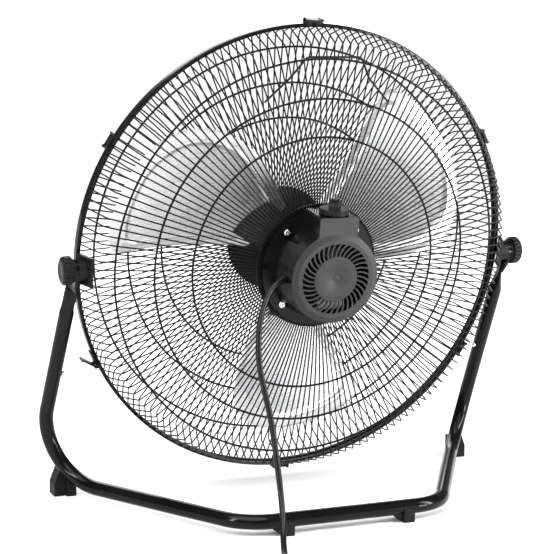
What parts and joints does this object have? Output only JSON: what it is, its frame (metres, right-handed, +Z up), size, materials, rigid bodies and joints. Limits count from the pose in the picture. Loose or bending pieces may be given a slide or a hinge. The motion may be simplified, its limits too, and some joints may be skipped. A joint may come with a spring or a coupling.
{
  "type": "floor fan",
  "caption": "Tilting high-velocity floor fan: wire-guarded round head with pressed metal blades between two bent-tube arms on a floor frame, rear speed dial and mains lead.",
  "frame": {"origin": "on the floor at the centre of the stand's and head's footprint, mains lead left out", "axes": "+Z up; the front of the fan faces -Y; +X is the left side for somebody standing behind the fan; tilt axis along X"},
  "size_m": [0.6002, 0.5031, 0.5816],
  "materials": {
    "gloss_black_paint": "gloss",
    "black_wire": "semi-gloss",
    "black_badge": "gloss",
    "black_rubber": "matte",
    "black_plastic": "satin",
    "housing_plastic": "semi-gloss",
    "cap_plastic": "satin",
    "dark_casting": "dull",
    "bright_zinc": "bright",
    "brass": "dull",
    "steel": "satin",
    "copper": "enamelled",
    "grey_plastic": "satin",
    "blade_aluminium": "satin",
    "black_steel": "satin",
    "lead_sheath": "satin",
    "tie_plastic": "satin",
    "plug_plastic": "satin",
    "plug_pin_metal": "bright"
  },
  "bodies": {
    "stand": {"left_arm_tube": "gloss_black_paint", "right_arm_tube": "gloss_black_paint", "base_tube_left": "gloss_black_paint", "base_tube_right": "gloss_black_paint", "front_left_foot": "black_rubber", "front_right_foot": "black_rubber", "rear_left_foot": "black_rubber", "rear_right_foot": "black_rubber", "arm_screws": "bright_zinc", "cord_hanging": "lead_sheath", "cord_on_floor": "lead_sheath", "cord_tail": "lead_sheath", "cord_coil": "lead_sheath", "coil_tie": "tie_plastic", "plug_body": "plug_plastic", "plug_pins": "plug_pin_metal"},
    "rotor": {"motor_shaft": "steel", "rotor_core": "steel", "blade_hub": "black_steel", "blade_1": "blade_aluminium", "blade_2": "blade_aluminium", "blade_3": "blade_aluminium", "blade_rivets": "steel", "hub_nut": "bright_zinc"},
    "dial": {"speed_dial": "black_plastic"},
    "left_knob": {"left_tilt_knob": "black_plastic", "left_knob_stud": "bright_zinc"},
    "right_knob": {"right_tilt_knob": "black_plastic", "right_knob_stud": "bright_zinc"},
    "clip_lever_1": {"rim_clip_lever_1": "black_plastic"},
    "clip_lever_2": {"rim_clip_lever_2": "black_plastic"},
    "clip_lever_3": {"rim_clip_lever_3": "black_plastic"},
    "clip_lever_4": {"rim_clip_lever_4": "black_plastic"},
    "clip_lever_5": {"rim_clip_lever_5": "black_plastic"},
    "clip_lever_6": {"rim_clip_lever_6": "black_plastic"},
    "head": {"badge_clamp_plate": "black_wire", "ball_bearings": "steel", "carry_handle": "black_wire", "flange_screws": "bright_zinc", "front_badge": "black_badge", "front_guard_rings": "black_wire", "front_guard_spokes": "black_wire", "guard_centre_plate": "black_wire", "left_pivot_bracket": "black_plastic", "motor_front_bell": "dark_casting", "motor_housing": "housing_plastic", "motor_rear_cap": "cap_plastic", "pivot_inserts": "brass", "rear_bearing_bracket": "dark_casting", "rear_guard_rings": "black_wire", "rear_guard_spokes": "black_wire", "right_pivot_bracket": "black_plastic", "rim_band": "gloss_black_paint", "rim_clip_bases": "black_plastic", "rotary_switch": "grey_plastic", "run_capacitor": "grey_plastic", "stator_core": "steel", "stator_windings": "copper", "strain_relief": "black_plastic"}
  },
  "joints": [
    {"name": "head_tilt", "type": "hinge", "parent": "stand", "child": "head", "pos_m": [0, -0.0219, 0.2922], "axis": [1, 0, 0], "range_deg": [-82, 38], "deforming": ["cord_hanging"]},
    {"name": "blade_spin", "type": "hinge", "parent": "head", "child": "rotor", "pos_m": [0, -0.02111, 0.29795], "axis": [0, 0.9907, -0.1357], "continuous": true},
    {"name": "speed_dial_turn", "type": "hinge", "parent": "head", "child": "dial", "pos_m": [0, 0.06819, 0.3604], "axis": [0, 0.1357, 0.9907], "range_deg": [-135, 0]},
    {"name": "left_knob_turn", "type": "hinge", "parent": "head", "child": "left_knob", "pos_m": [0.2906, -0.0219, 0.2922], "axis": [1, 0, 0], "range_deg": [0, 360]},
    {"name": "right_knob_turn", "type": "hinge", "parent": "head", "child": "right_knob", "pos_m": [-0.2906, -0.0219, 0.2922], "axis": [-1, 0, 0], "range_deg": [0, 360]},
    {"name": "clip_1_open", "type": "hinge", "parent": "head", "child": "clip_lever_1", "pos_m": [0.008, -0.00194, 0.57864], "axis": [0, 0.9907, -0.1357], "range_deg": [0, 90]},
    {"name": "clip_2_open", "type": "hinge", "parent": "head", "child": "clip_lever_2", "pos_m": [-0.23909, -0.02005, 0.44645], "axis": [0, 0.9907, -0.1357], "range_deg": [0, 90]},
    {"name": "clip_3_open", "type": "hinge", "parent": "head", "child": "clip_lever_3", "pos_m": [-0.24709, -0.05814, 0.16835], "axis": [0, 0.9907, -0.1357], "range_deg": [0, 90]},
    {"name": "clip_4_open", "type": "hinge", "parent": "head", "child": "clip_lever_4", "pos_m": [-0.008, -0.07813, 0.02244], "axis": [0, 0.9907, -0.1357], "range_deg": [0, 90]},
    {"name": "clip_5_open", "type": "hinge", "parent": "head", "child": "clip_lever_5", "pos_m": [0.24879, -0.05771, 0.1715], "axis": [0, 0.9907, -0.1357], "range_deg": [-35, 55]},
    {"name": "clip_6_open", "type": "hinge", "parent": "head", "child": "clip_lever_6", "pos_m": [0.24709, -0.02193, 0.43273], "axis": [0, 0.9907, -0.1357], "range_deg": [0, 90]}
  ]
}
